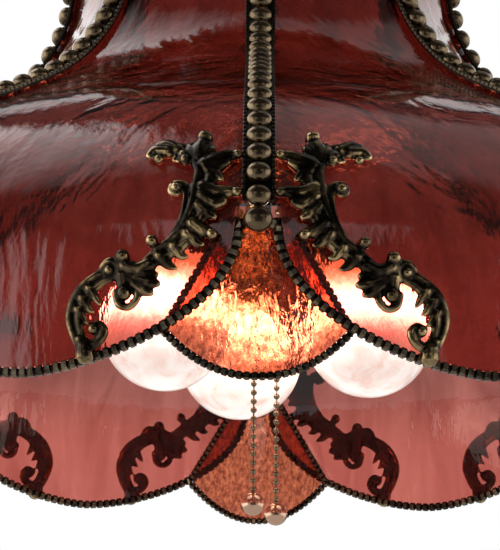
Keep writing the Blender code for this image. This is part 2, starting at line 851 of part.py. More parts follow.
def chain_tube(number, x, y, high, low):
    """The plain tube that stands for a ball chain, hanging straight down."""
    curve = bpy.data.curves.new(f"pull_chain_{number + 1}", "CURVE")
    curve.dimensions = "3D"
    curve.bevel_depth = CHAIN_RADIUS
    curve.bevel_resolution = 2
    curve.use_fill_caps = True
    spline = curve.splines.new("POLY")
    spline.points.add(CHAIN_POINTS - 1)
    for i, point in enumerate(spline.points):
        share = i / (CHAIN_POINTS - 1)
        point.co = (x, y, high + (low - high) * share, 1)
    link(bpy.data.objects.new(f"pull_chain_{number + 1}", curve), FITTING_BRASS)


# ---------------------------------------------------------------- the whole lamp


def build_shade():
    plate = filigree_plate()
    for number in range(1, SIDES + 1):
        corner_azimuth = (number - 1) * 2 * HALF_ANGLE
        glass_panel(number, corner_azimuth + HALF_ANGLE)
        tongue_panel(number, corner_azimuth)
        rib(number, corner_azimuth)
        filigree(f"filigree_left_{number}", corner_azimuth, -1, plate)
        filigree(f"filigree_right_{number}", corner_azimuth, 1, plate)
    plate.free()
    rim_trim()


def build_fittings():
    crown_ring()
    spider()
    vent_cap()
    stem()
    cap_nut()
    hanging_loop()
    cluster_body()
    for number in range(BULB_COUNT):
        lamp_holder(number)
        bulb(number)
    for number in range(len(PULL_POSITIONS)):
        pull(number)


build_shade()
build_fittings()
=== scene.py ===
"""The looks of the bent-glass pendant lamp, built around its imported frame.

Units are metres and +Z is up. The origin is where the hanging loop rests on its hook.
The shade's surface uses the same two coordinates as the part: h, the height above the rim plane,
and s, the distance along the shade's profile, up the corner line from the rim plane.
An azimuth of 0 faces -Y, and azimuths grow towards +X.
"""

import bisect
import math

import bmesh
import bpy
from mathutils import Matrix, Vector, noise


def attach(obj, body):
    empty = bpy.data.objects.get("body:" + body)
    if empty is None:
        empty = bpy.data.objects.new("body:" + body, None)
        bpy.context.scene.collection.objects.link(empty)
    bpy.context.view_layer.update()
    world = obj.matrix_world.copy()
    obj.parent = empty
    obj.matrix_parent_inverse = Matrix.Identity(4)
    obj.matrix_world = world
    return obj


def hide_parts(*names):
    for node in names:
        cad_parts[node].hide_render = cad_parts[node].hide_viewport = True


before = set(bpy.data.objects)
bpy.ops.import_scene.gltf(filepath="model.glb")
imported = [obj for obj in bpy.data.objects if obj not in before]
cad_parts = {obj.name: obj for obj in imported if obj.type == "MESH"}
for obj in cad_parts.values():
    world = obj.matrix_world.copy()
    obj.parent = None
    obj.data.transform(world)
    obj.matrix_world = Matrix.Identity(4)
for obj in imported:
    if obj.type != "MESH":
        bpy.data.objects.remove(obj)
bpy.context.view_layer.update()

MM = 0.001
SIDES = 8
HALF_ANGLE = math.pi / SIDES
HANG_HEIGHT = 443 * MM
LAMP = "lamp"  # the body that everything fixed belongs to
WORLD_AXES = (Vector((1, 0, 0)), Vector((0, 1, 0)), Vector((0, 0, 1)))

CORNER_LINE = [
    (346 * MM, 0),
    (343 * MM, 50 * MM),
    (338 * MM, 92 * MM),
    (321 * MM, 123 * MM),
    (290 * MM, 156 * MM),
    (252 * MM, 181 * MM),
    (210 * MM, 200 * MM),
    (172 * MM, 220 * MM),
    (145 * MM, 244 * MM),
    (127 * MM, 272 * MM),
    (120 * MM, 300 * MM),
    (120 * MM, 345 * MM),
]
BULGE = 0.3
GLASS_THICKNESS = 3 * MM
SHOULDER_S = 122 * MM
FOOT_S = 82 * MM
LOBE_DROP = 75 * MM
LOBE_SHARE = 0.92
LOBE_POWER = 1.65
ARCH_RISE = 5 * MM
TRIM_WIDTH = 5.5 * MM
TRIM_DEPTH = 5 * MM
CAME_WIDTH = 4.4 * MM
CAME_DEPTH = 4 * MM
NOTCH_PITCH = 5 * MM

TONGUE_SET_BACK = 6.5 * MM
TONGUE_BEND = 15 * MM
TONGUE_HALF_WIDTH = 50.5 * MM
TONGUE_TOP_HALF_WIDTH = 16 * MM
TONGUE_CORNER_S = 27 * MM
TONGUE_TOP_S = 86 * MM
TONGUE_POWER = 2.1

RIB_HALF_WIDTH = 7.8 * MM
RIB_UNDERSIDE = 2.8 * MM
RIB_THICKNESS = 1.7 * MM
BEAD_PITCH = 14.9 * MM
BEAD_SIZE = (7 * MM, 6.3 * MM, 5.3 * MM)  # half its width, length and height
LAST_BEAD_SIZE = (7.8 * MM, 7.4 * MM, 5.8 * MM)
LADDER_PITCH = 3.7 * MM
LADDER_BLOCK = 2.7 * MM

NECK_RING_OUTER = 127 * MM
NECK_RING_LEDGE = 98 * MM
NECK_RING_INNER = 106 * MM
NECK_RING_LOW_H = 345.3 * MM
NECK_RING_LEDGE_H = 348.3 * MM
NECK_RING_TOP_H = 358.3 * MM
CAP_LOW_H = 358.6 * MM
CAP_TOP_H = 396.6 * MM
CAP_THICKNESS = 2.5 * MM
STEM_HOLE = 5.4 * MM  # the hole of each piece that the stem goes through
LOOP_RADIUS = 16 * MM
LOOP_WIRE = 3.2 * MM
LOOP_BASE_RADIUS = 8 * MM
LOOP_BASE_H = 403.7 * MM
LOOP_SOCKET_DEPTH = 6 * MM

CLUSTER_H = 206 * MM
BULB_COUNT = 3
FIRST_BULB_AZIMUTH = math.radians(69)
BULB_TILT = math.radians(30)
BULB_REACH = 149 * MM
BULB_RADIUS = 40 * MM
BULB_BASE_RADIUS = 13.2 * MM
BULB_WALL = 1.2 * MM
BULB_LENGTH = 81 * MM
SOCKET_RADIUS = 16 * MM
SOCKET_BORE = 14 * MM
SOCKET_START = 54 * MM
SOCKET_FLOOR = 62 * MM
SOCKET_END = 102 * MM

PULL_POSITIONS = [(-2.5 * MM, -15 * MM), (12 * MM, 12 * MM)]
PULL_BALL_H = [-29.5 * MM, -32.5 * MM]
PULL_BALL_RADIUS = 7.3 * MM
CHAIN_TOP_H = 176.4 * MM
CHAIN_BEAD_RADIUS = 2 * MM
CHAIN_PITCH = 5.5 * MM
FLOOR_Z = -2.3
FLOOR_SIZE = 14


# ---- the shade's surface


def spline_value(a, b, c, d, u):
    bend = (2 * a - 5 * b + 4 * c - d) * u**2
    return 0.5 * (2 * b + (c - a) * u + bend + (3 * b - a - 3 * c + d) * u**3)


def catmull_rom(points, per_span=12):
    """Points along a smooth curve through the given points, of any dimension."""
    ends = [points[0]] + points + [points[-1]]
    curve = []
    for a, b, c, d in zip(ends, ends[1:], ends[2:], ends[3:]):
        for step in range(per_span):
            u = step / per_span
            curve.append(tuple(spline_value(*values, u) for values in zip(a, b, c, d)))
    return curve + [points[-1]]


CURVE = catmull_rom(CORNER_LINE)
CURVE_S = [0.0]
for before, after in zip(CURVE, CURVE[1:]):
    CURVE_S.append(CURVE_S[-1] + math.dist(before, after))
TOP_S = CURVE_S[-1]


def corner_line(s):
    """The radius and height of the corner line at s."""
    i = min(max(bisect.bisect(CURVE_S, s), 1), len(CURVE_S) - 1)
    share = (s - CURVE_S[i - 1]) / (CURVE_S[i] - CURVE_S[i - 1])
    low = CURVE[i - 1]
    high = CURVE[i]
    return low[0] + (high[0] - low[0]) * share, low[1] + (high[1] - low[1]) * share


def around(azimuth, out, along, h):
    """A point at a distance out from the lamp's axis and along the tangent, at height h."""
    return Vector(
        (
            out * math.sin(azimuth) + along * math.cos(azimuth),
            -out * math.cos(azimuth) + along * math.sin(azimuth),
            h - HANG_HEIGHT,
        )
    )


def at(h):
    """The z of a height above the rim plane."""
    return h - HANG_HEIGHT


def half_width(s):
    return corner_line(s)[0] * math.sin(HALF_ANGLE)


def panel_middle(azimuth, t, s):
    """The middle of the glass of the panel that faces azimuth. t runs from -1 to 1 across it."""
    radius, h = corner_line(s)
    flat = radius * math.cos(HALF_ANGLE)
    bowed = BULGE * radius * (1 - math.cos(HALF_ANGLE)) * (1 - t * t)
    return around(azimuth, flat + bowed, t * half_width(s), h)


def panel_normal(azimuth, t, s):
    step = 1 * MM
    along = panel_middle(azimuth, t + 0.01, s) - panel_middle(azimuth, t - 0.01, s)
    up = panel_middle(azimuth, t, s + step) - panel_middle(azimuth, t, s - step)
    return along.cross(up).normalized()


def panel_point(azimuth, t, s, out=0.0):
    return panel_middle(azimuth, t, s) + panel_normal(azimuth, t, s) * out


def corner_normal(azimuth, s):
    step = 1 * MM
    (r0, h0), (r1, h1) = corner_line(s - step), corner_line(s + step)
    slope = math.atan2(h1 - h0, r1 - r0)
    return around(azimuth, math.sin(slope), 0, HANG_HEIGHT - math.cos(slope))


def corner_point(azimuth, s, out=0.0):
    radius, h = corner_line(s)
    return around(azimuth, radius, 0, h) + corner_normal(azimuth, s) * out


def beside_rib(azimuth, side, distance, s, out):
    """A point on the panel beside a rib, at a distance from the rib's corner line."""
    t = 1 - distance / half_width(s)
    return panel_point(azimuth + side * HALF_ANGLE, -side * t, s, out)


def glass_edge(t):
    """s of the panel's lower edge, which stands on the trim."""
    inset = TRIM_WIDTH / 2 - 1.2 * MM
    share = abs(t) * half_width(FOOT_S) / (LOBE_SHARE * half_width(FOOT_S) - inset)
    if share >= 1:
        return FOOT_S + ARCH_RISE + TRIM_WIDTH + 2 * MM
    return FOOT_S + inset - LOBE_DROP * math.sqrt(1 - share**LOBE_POWER)


def tongue_point(azimuth, x, s, out=0.0):
    """A point on the tongue behind a rib's foot, which is bent round the corner."""
    radius, h = corner_line(s)
    back = (math.hypot(x, TONGUE_BEND) - TONGUE_BEND) * math.tan(HALF_ANGLE)
    turn = math.atan2(x * math.tan(HALF_ANGLE), math.hypot(x, TONGUE_BEND))
    return around(
        azimuth,
        radius - TONGUE_SET_BACK - back + out * math.cos(turn),
        x + out * math.sin(turn),
        h,
    )


# ---- material nodes


def new_material(name, **sockets):
    """A Principled material, with sockets given by name (spaces as underscores)."""
    made = bpy.data.materials.new(name)
    made.use_nodes = True
    shader = made.node_tree.nodes["Principled BSDF"]
    for socket, value in sockets.items():
        if isinstance(value, tuple):
            value = (*value, 1)
        shader.inputs[socket.replace("_", " ")].default_value = value
    return made


def add_node(material, kind, **values):
    node = material.node_tree.nodes.new(kind)
    for name, value in values.items():
        setattr(node, name, value)
    return node


def connect(material, source, target):
    material.node_tree.links.new(source, target)


def shader_input(material, name):
    return material.node_tree.nodes["Principled BSDF"].inputs[name]


def feed(material, source, name):
    connect(material, source, shader_input(material, name))


def object_coordinates(material, stretch=(1, 1, 1)):
    """Coordinates fixed to the object, in metres, scaled along each axis."""
    coordinates = add_node(material, "ShaderNodeTexCoord")
    mapping = add_node(material, "ShaderNodeMapping")
    mapping.inputs["Scale"].default_value = stretch
    connect(material, coordinates.outputs["Object"], mapping.inputs["Vector"])
    return mapping.outputs["Vector"]


def noise_texture(material, scale, detail=3.0, roughness=0.55, stretch=(1, 1, 1), distortion=0.0):
    texture = add_node(material, "ShaderNodeTexNoise")
    texture.inputs["Scale"].default_value = scale
    texture.inputs["Detail"].default_value = detail
    texture.inputs["Roughness"].default_value = roughness
    texture.inputs["Distortion"].default_value = distortion
    connect(material, object_coordinates(material, stretch), texture.inputs["Vector"])
    return texture.outputs["Fac"]


def ramp(material, source, *stops):
    """Colours along a 0 to 1 source, from (place, colour) pairs."""
    node = add_node(material, "ShaderNodeValToRGB")
    elements = node.color_ramp.elements
    while len(elements) < len(stops):
        elements.new(0.5)
    for element, (place, colour) in zip(elements, stops):
        element.position = place
        element.color = (*colour, 1)
    connect(material, source, node.inputs["Fac"])
    return node.outputs["Color"]


def map_range(material, source, low, high, to_low, to_high):
    node = add_node(material, "ShaderNodeMapRange")
    for name, value in zip(("From Min", "From Max", "To Min", "To Max"), (low, high, to_low, to_high)):
        node.inputs[name].default_value = value
    connect(material, source, node.inputs["Value"])
    return node.outputs["Result"]


def mix_colours(material, factor, first, second, blend="MIX"):
    node = add_node(material, "ShaderNodeMix", data_type="RGBA", blend_type=blend)
    for socket, value in ((0, factor), (6, first), (7, second)):
        if isinstance(value, (int, float)):
            node.inputs[socket].default_value = value
        elif isinstance(value, tuple):
            node.inputs[socket].default_value = (*value, 1)
        else:
            connect(material, value, node.inputs[socket])
    return node.outputs[2]


def add_bump(material, height, distance, strength=1.0):
    """Adds a bump under any bump that the material already has."""
    node = add_node(material, "ShaderNodeBump")
    node.inputs["Distance"].default_value = distance
    node.inputs["Strength"].default_value = strength
    connect(material, height, node.inputs["Height"])
    target = shader_input(material, "Normal")
    if target.links:
        connect(material, target.links[0].from_socket, node.inputs["Normal"])
    connect(material, node.outputs["Normal"], target)


# ---- the materials


def red_glass():
    """Mouth-rolled red glass: paler towards the rim, with long vertical waves and streaks."""
    made = new_material("red_glass", Roughness=0.0, IOR=1.5, Transmission_Weight=1.0)
    streaks = noise_texture(made, 38, 5, 0.65, stretch=(1, 1, 0.22), distortion=0.8)
    pale = ramp(made, streaks, (0.3, (0.37, 0.07, 0.055)), (0.7, (0.6, 0.165, 0.13)))
    deep = ramp(made, streaks, (0.3, (0.2, 0.042, 0.031)), (0.7, (0.4, 0.12, 0.095)))
    split = add_node(made, "ShaderNodeSeparateXYZ")
    connect(made, object_coordinates(made), split.inputs["Vector"])
    rise = map_range(made, split.outputs["Z"], at(50 * MM), at(100 * MM), 0, 1)
    feed(made, mix_colours(made, rise, pale, deep), "Base Color")
    add_bump(made, noise_texture(made, 20, 3, stretch=(1, 1, 0.35), distortion=0.6), 4 * MM, 0.35)
    add_bump(made, noise_texture(made, 75, 4, stretch=(1, 1, 0.4)), 0.8 * MM, 0.4)
    return made


def hammered_glass():
    """Red glass with a hammered face, which scatters the bulbs into streaks."""
    made = new_material("hammered_glass", Roughness=0.04, IOR=1.5, Transmission_Weight=1.0)
    grain = noise_texture(made, 330, 5, 0.7, stretch=(1, 1, 0.6))
    stops = ((0.36, (0.12, 0.02, 0.012)), (0.5, (0.42, 0.1, 0.05)), (0.64, (0.66, 0.2, 0.1)))
    colour = ramp(made, grain, *stops)
    feed(made, colour, "Base Color")
    add_bump(made, noise_texture(made, 200, 3, stretch=(1, 1, 0.5), distortion=0.4), 0.6 * MM, 0.35)
    return made


def bronze(name, stops, roughness):
    """Cast brass, blackened, with bright metal on its high edges that is partly rubbed wear and partly a
    painted highlight.

    The stops give its colour by how far the surface stands out: 0.5 is flat, and more is convex.
    """
    made = new_material(name, Metallic=1.0)
    pointiness = add_node(made, "ShaderNodeNewGeometry").outputs["Pointiness"]
    patches = noise_texture(made, 70, 4)
    wear_and_highlight = mix_colours(made, 0.12, pointiness, patches)
    # The bright colour on convex edges is partly rubbed wear and partly a painted highlight.
    feed(made, ramp(made, wear_and_highlight, *stops), "Base Color")
    speckle = noise_texture(made, 420, 3)
    finish = map_range(made, speckle, 0.3, 0.7, roughness - 0.07, roughness + 0.09)
    feed(made, finish, "Roughness")
    add_bump(made, speckle, 0.1 * MM, 0.3)
    return made


def frosted_bulb():
    """A lit, frosted globe: brightest level with its filament, dimmer and mottled below."""
    made = new_material("bulb", Base_Color=(0.9, 0.87, 0.84), Roughness=0.18, Coat_Weight=0.6)
    coordinates = add_node(made, "ShaderNodeTexCoord")
    split = add_node(made, "ShaderNodeSeparateXYZ")
    connect(made, coordinates.outputs["Object"], split.inputs["Vector"])
    low = at(CLUSTER_H) - BULB_REACH * math.cos(BULB_TILT) - BULB_RADIUS
    height = map_range(made, split.outputs["Z"], low, low + 2 * BULB_RADIUS, 0, 1)
    glow = add_node(made, "ShaderNodeFloatCurve")
    curve = glow.mapping.curves[0]
    curve.points[0].location = (0, 0.032)
    curve.points[1].location = (1, 0.11)
    for place, level in ((0.3, 0.045), (0.42, 0.1), (0.58, 0.75), (0.7, 1), (0.86, 0.45)):
        curve.points.new(place, level)
    glow.mapping.update()
    connect(made, height, glow.inputs["Value"])
    strength = map_range(made, glow.outputs["Value"], 0, 1, 0, 22)
    feed(made, strength, "Emission Strength")
    mottle = noise_texture(made, 60, 5, 0.65, distortion=0.8)
    warm = ramp(made, mottle, (0.35, (1, 0.66, 0.56)), (0.55, (1, 0.88, 0.78)), (0.75, (1, 0.96, 0.9)))
    amber = map_range(made, height, 0.75, 1, 0, 1)
    feed(made, mix_colours(made, amber, warm, (1, 0.6, 0.3)), "Emission Color")
    # Base colour: frosted white with a pink mottle that is a painted reflection of the red glass.
    frost_and_pink_reflection = ramp(made, mottle, (0.35, (0.7, 0.52, 0.47)), (0.6, (0.93, 0.88, 0.85)))
    feed(made, frost_and_pink_reflection, "Base Color")
    add_bump(made, mottle, 0.5 * MM, 0.4)
    return made


def pale_floor():
    made = new_material("floor", Roughness=0.8, Emission_Color=(1.0, 1.0, 1.0), Emission_Strength=0.15)
    clouds = noise_texture(made, 3, 2)
    colour = ramp(made, clouds, (0.3, (0.82, 0.82, 0.82)), (0.7, (0.86, 0.86, 0.86)))
    feed(made, colour, "Base Color")
    return made


RED_GLASS = red_glass()
HAMMERED_GLASS = hammered_glass()
BLACKENED = (0.012, 0.01, 0.008)
# The top stop of each brass is partly rubbed metal and partly a painted highlight on its high edges.
ANTIQUE_BRASS = bronze(
    "antique_brass", [(0.482, BLACKENED), (0.51, (0.06, 0.043, 0.026)), (0.548, (0.66, 0.46, 0.22))], 0.17
)
SPUN_BRASS = bronze(
    "spun_brass", [(0.42, (0.04, 0.03, 0.02)), (0.54, (0.13, 0.095, 0.055)), (0.62, (0.42, 0.3, 0.16))], 0.3
)
STRAP_BRASS = bronze(
    "strap_brass", [(0.5, BLACKENED), (0.56, (0.03, 0.025, 0.02)), (0.68, (0.16, 0.12, 0.08))], 0.3
)
BEAD_BRASS = bronze(
    "bead_brass", [(0.47, (0.04, 0.03, 0.02)), (0.53, (0.17, 0.12, 0.07)), (0.6, (0.36, 0.26, 0.15))], 0.24
)
TRIM_BRASS = bronze(
    "trim_brass", [(0.51, BLACKENED), (0.58, (0.05, 0.04, 0.03)), (0.66, (0.55, 0.42, 0.26))], 0.19
)
FITTING_BRASS = bronze(
    "fitting_brass", [(0.45, (0.06, 0.04, 0.02)), (0.5, (0.22, 0.15, 0.07)), (0.58, (0.6, 0.42, 0.2))], 0.26
)
COPPER = bronze(
    "copper", [(0.45, (0.3, 0.16, 0.1)), (0.5, (0.62, 0.38, 0.26)), (0.58, (0.75, 0.5, 0.36))], 0.2
)
BULB_GLASS = frosted_bulb()


# ---- mesh building


def piece(name, shape, surface, nodes=(), body=LAMP, smooth_angle=40, place=None):
    """A finished piece from a bmesh: it rides on a body and stands for CAD nodes."""
    mesh = bpy.data.meshes.new(name)
    shape.to_mesh(mesh)
    shape.free()
    mesh.shade_smooth()
    mesh.set_sharp_from_angle(angle=math.radians(smooth_angle))
    for material in surface if isinstance(surface, list) else [surface]:
        mesh.materials.append(material)
    made = bpy.data.objects.new(name, mesh)
    bpy.context.scene.collection.objects.link(made)
    if place:
        made.matrix_world = place
    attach(made, body)
    if nodes:
        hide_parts(*nodes)
    return made


def face_outward(shape):
    bmesh.ops.recalc_face_normals(shape, faces=shape.faces)


def turn_round(shape, azimuth):
    """Turns a bmesh about the lamp's axis."""
    bmesh.ops.transform(shape, verts=shape.verts, matrix=Matrix.Rotation(azimuth, 4, "Z"))
    return shape


def grid_shell(rows):
    """A closed sheet from a grid of (outer point, inner point) pairs."""
    shape = bmesh.new()
    outer = [[shape.verts.new(pair[0]) for pair in row] for row in rows]
    inner = [[shape.verts.new(pair[1]) for pair in row] for row in rows]
    last_row = len(rows) - 1
    last_column = len(rows[0]) - 1
    for i in range(last_row):
        for j in range(last_column):
            shape.faces.new((outer[i][j], outer[i][j + 1], outer[i + 1][j + 1], outer[i + 1][j]))
            shape.faces.new((inner[i][j], inner[i + 1][j], inner[i + 1][j + 1], inner[i][j + 1]))
    border = [(0, j) for j in range(last_column)]
    border += [(i, last_column) for i in range(last_row)]
    border += [(last_row, j) for j in range(last_column, 0, -1)]
    border += [(i, 0) for i in range(last_row, 0, -1)]
    for (i, j), (k, m) in zip(border, border[1:] + border[:1]):
        shape.faces.new((outer[i][j], inner[i][j], inner[k][m], outer[k][m]))
    face_outward(shape)
    return shape


def join_rings(shape, rings):
    """Skins over a row of rings that have the same number of vertices."""
    for here, following in zip(rings, rings[1:]):
        for k in range(len(here)):
            m = (k + 1) % len(here)
            shape.faces.new((here[k], here[m], following[m], following[k]))


def turned(outline, steps=64):
    """A body turned about Z from (radius, z) points. An outline off the axis closes on itself."""
    shape = bmesh.new()
    on_axis = min(radius for radius, _ in outline) <= 0
    rings = []
    for radius, z in outline:
        if radius <= 0:
            rings.append([shape.verts.new((0, 0, z))] * steps)
        else:
            angles = [2 * math.pi * i / steps for i in range(steps)]
            rings.append([shape.verts.new((radius * math.cos(a), radius * math.sin(a), z)) for a in angles])
    pairs = list(zip(rings, rings[1:]))
    if not on_axis:
        pairs.append((rings[-1], rings[0]))
    for here, following in pairs:
        for i in range(steps):
            k = (i + 1) % steps
            corners = dict.fromkeys((here[i], here[k], following[k], following[i]))
            if len(corners) > 2:
                shape.faces.new(tuple(corners))
    face_outward(shape)
    return shape


def add_ball(shape, centre, axes, size, segments=20, rings=12):
    """Adds an ellipsoid with half sizes along three axes."""
    made = bmesh.ops.create_uvsphere(shape, u_segments=segments, v_segments=rings, radius=1)
    turn = Matrix(axes).transposed().to_4x4()
    matrix = Matrix.Translation(centre) @ turn @ Matrix.Diagonal((*size, 1))
    bmesh.ops.transform(shape, verts=made["verts"], matrix=matrix)


def add_block(shape, centre, axes, size, bevel=0.25):
    """Adds a box with half sizes along three axes and a chamfered outer face."""
    turn = Matrix(axes).transposed()
    corners = []
    for level, share in ((-1, 1), (1 - bevel, 1), (1, 1 - bevel)):
        ring = []
        for x, y in ((1, 1), (-1, 1), (-1, -1), (1, -1)):
            offset = Vector((x * share * size[0], y * share * size[1], level * size[2]))
            ring.append(shape.verts.new(centre + turn @ offset))
        corners.append(ring)
    shape.faces.new(corners[0][::-1])
    shape.faces.new(corners[2])
    for low, high in zip(corners, corners[1:]):
        for i in range(4):
            k = (i + 1) % 4
            shape.faces.new((low[i], low[k], high[k], high[i]))


def resampled(points, normals, pitch):
    """A function from a distance round a closed path to its point and normal, its length and step count."""
    count = len(points)
    lengths = [0.0]
    for i in range(count):
        lengths.append(lengths[-1] + (points[(i + 1) % count] - points[i]).length)
    total = lengths[-1]

    def place(distance):
        distance %= total
        i = min(bisect.bisect(lengths, distance), count) - 1
        share = (distance - lengths[i]) / (lengths[i + 1] - lengths[i])
        k = (i + 1) % count
        point = points[i].lerp(points[k], share)
        normal = normals[i].lerp(normals[k], share).normalized()
        return point, normal

    return place, total, round(total / pitch)


def notched_bar(shape, points, normals, width, depth, pitch=NOTCH_PITCH):
    """A closed bar that is crimped all along into small chamfered blocks."""
    place, total, blocks = resampled(points, normals, pitch)
    section = [(1, 0.5), (0.5, 1), (-0.5, 1), (-1, 0.5), (-1, -0.5), (-0.5, -1), (0.5, -1), (1, -0.5)]
    profile = ((0.0, 0.66), (0.14, 1.0), (0.7, 1.0), (0.84, 0.66))  # place along a block, and scale
    rings = []
    for block in range(blocks):
        for share, scale in profile:
            distance = (block + share) * total / blocks
            point, normal = place(distance)
            along = (place(distance + 0.5 * MM)[0] - place(distance - 0.5 * MM)[0]).normalized()
            across = along.cross(normal).normalized()
            rings.append(
                [
                    shape.verts.new(point + across * a * scale * width / 2 + normal * b * scale * depth / 2)
                    for a, b in section
                ]
            )
    join_rings(shape, rings + rings[:1])


# ---- the shade's glass


def wave(number, x, s):
    """How far the rolled glass of a panel strays from its true surface."""
    slow = noise.noise(Vector((x * 15, s * 5, number * 7.3)))
    quick = noise.noise(Vector((x * 42, s * 10, number * 3.1)))
    return (0.55 * slow + 0.16 * quick) * MM


def glass_panel(number, base):
    columns = len(base[0])
    rows = []
    for row in base:
        made = []
        for j, (point, normal, s) in enumerate(row):
            x = (j / (columns - 1) - 0.5) * 2 * half_width(s)
            stray = wave(number, x, s)
            made.append([point + normal * (stray + side * GLASS_THICKNESS / 2) for side in (1, -1)])
        rows.append(made)
    shape = grid_shell(rows)
    turn_round(shape, (number - 0.5) * 2 * HALF_ANGLE)
    name = f"glass_panel_{number}"
    piece(f"{name}_sheet", shape, RED_GLASS, [name], smooth_angle=60)


def glass_panels():
    """The eight bent panels, from one set of points turned round the lamp."""
    columns = 49
    shoulder_rows = 44
    skirt_rows = 26
    base = []
    for i in range(shoulder_rows + skirt_rows + 1):
        row = []
        for j in range(columns):
            t = 0.99 * math.sin((j / (columns - 1) - 0.5) * math.pi)
            if i < shoulder_rows:
                s = TOP_S + (SHOULDER_S - TOP_S) * i / shoulder_rows
            else:
                s = SHOULDER_S + (glass_edge(t) - SHOULDER_S) * (i - shoulder_rows) / skirt_rows
            row.append((panel_point(0, t, s), panel_normal(0, t, s), s))
        base.append(row)
    for number in range(1, SIDES + 1):
        glass_panel(number, base)


def tongue_sheet(number):
    """A tongue's glass, with a hammered outer face."""
    inset = CAME_WIDTH / 2 - 1 * MM
    row_count = 44
    column_count = 64
    rows = []
    for i in range(row_count + 1):
        rise = i / row_count
        row = []
        for j in range(column_count + 1):
            q = 2 * j / column_count - 1
            low_s = TONGUE_CORNER_S * abs(q) ** TONGUE_POWER + inset
            high_s = TONGUE_TOP_S - 1.6 * inset
            low_x = (TONGUE_HALF_WIDTH - 1.7 * inset) * q
            high_x = (TONGUE_TOP_HALF_WIDTH - inset) * q
            x = low_x + (high_x - low_x) * rise
            s = low_s + (high_s - low_s) * rise
            dent = noise.noise(Vector((x * 110, s * 90, number * 5.7)))
            dent += 0.6 * noise.noise(Vector((x * 230, s * 200, number * 2.9)))
            half = GLASS_THICKNESS / 2.4
            row.append((tongue_point(0, x, s, half + 0.16 * MM * dent), tongue_point(0, x, s, -half)))
        rows.append(row)
    shape = grid_shell(rows)
    turn_round(shape, (number - 1) * 2 * HALF_ANGLE)
    name = f"tongue_panel_{number}"
    piece(f"{name}_sheet", shape, HAMMERED_GLASS, [name], smooth_angle=60)


# ---- ribs and trims


def surface_axes(s, out=0.0):
    """Across, up along, and outward axes on the corner line at azimuth 0."""
    normal = corner_normal(0, s)
    across = Vector((1, 0, 0))
    return across, normal.cross(across).normalized(), normal


def rib_shape():
    """The strap with rolled edges, its row of domed beads, and its laddered edges."""
    foot = FOOT_S + ARCH_RISE + 7.5 * MM
    step = 4 * MM
    count = int((TOP_S - foot) / step)
    # Across half the strap: the share of its half width, and the lift in mm.
    section = [(1.0, 0.1), (0.94, 0.6), (0.84, 0.6), (0.76, 0.1), (0.4, 0.3)]
    rows = []
    for i in range(count + 1):
        s = foot + (TOP_S - foot) * i / count
        row = []
        for side in (-1, 1):
            half = []
            for share, lift in section:
                distance = share * RIB_HALF_WIDTH
                outer = beside_rib(0, side, distance, s, RIB_UNDERSIDE + RIB_THICKNESS + lift * MM)
                half.append((outer, beside_rib(0, side, distance, s, RIB_UNDERSIDE)))
            row += half if side < 0 else half[::-1]
        rows.append(row)
    shape = grid_shell(rows[::-1])
    s = foot + LADDER_PITCH
    while s < TOP_S - LADDER_PITCH:
        for side in (-1, 1):
            centre = beside_rib(0, side, RIB_HALF_WIDTH - 0.7 * MM, s, 5 * MM)
            size = (0.9 * MM, LADDER_BLOCK / 2, 0.9 * MM)
            add_block(shape, centre, surface_axes(s), size)
        s += LADDER_PITCH
    strap_faces = len(shape.faces)
    bead = 1
    while FOOT_S + bead * BEAD_PITCH < TOP_S - BEAD_SIZE[1]:
        s = FOOT_S + bead * BEAD_PITCH
        add_ball(shape, corner_point(0, s, 4.6 * MM), surface_axes(s), BEAD_SIZE)
        bead += 1
    shape.faces.ensure_lookup_table()
    for face in shape.faces[strap_faces:]:
        face.material_index = 1
    return shape


def ribs():
    shape = rib_shape()
    for number in range(1, SIDES + 1):
        made = turn_round(shape.copy(), (number - 1) * 2 * HALF_ANGLE)
        metals = [STRAP_BRASS, BEAD_BRASS]
        piece(f"rib_{number}_casting", made, metals, [f"rib_{number}"])
    shape.free()


def lobe_trim_path():
    """The points and outward normals of the trim, round all the lobes."""
    points = []
    normals = []
    arc_steps = 72
    for number in range(SIDES):
        azimuth = (number + 0.5) * 2 * HALF_ANGLE
        for step in range(arc_steps + 1):
            angle = (step / arc_steps - 0.5) * math.pi
            t = math.copysign(LOBE_SHARE * abs(math.sin(angle)) ** (2 / LOBE_POWER), angle)
            s = FOOT_S - LOBE_DROP * math.cos(angle)
            points.append(panel_point(azimuth, t, s))
            normals.append(panel_normal(azimuth, t, s))
        corner_azimuth = (number + 1) * 2 * HALF_ANGLE
        points.append(corner_point(corner_azimuth, FOOT_S + ARCH_RISE))
        normals.append(corner_normal(corner_azimuth, FOOT_S + ARCH_RISE))
    return points, normals


def tongue_came_path():
    """The came round the tongue at azimuth 0."""
    arc_steps = 40
    outline = []
    for step in range(arc_steps + 1):
        q = 2 * step / arc_steps - 1
        outline.append((TONGUE_HALF_WIDTH * q, TONGUE_CORNER_S * abs(q) ** TONGUE_POWER))
    side_steps = 12
    for step in range(1, side_steps + 1):
        share = step / side_steps
        x = TONGUE_HALF_WIDTH + (TONGUE_TOP_HALF_WIDTH - TONGUE_HALF_WIDTH) * share
        outline.append((x, TONGUE_CORNER_S + (TONGUE_TOP_S - TONGUE_CORNER_S) * share))
    mirrored = [(-x, s) for x, s in outline[: arc_steps : -1]]
    outline += mirrored
    points = [tongue_point(0, x, s) for x, s in outline]
    normals = [(tongue_point(0, x, s, MM) - tongue_point(0, x, s)).normalized() for x, s in outline]
    return points, normals


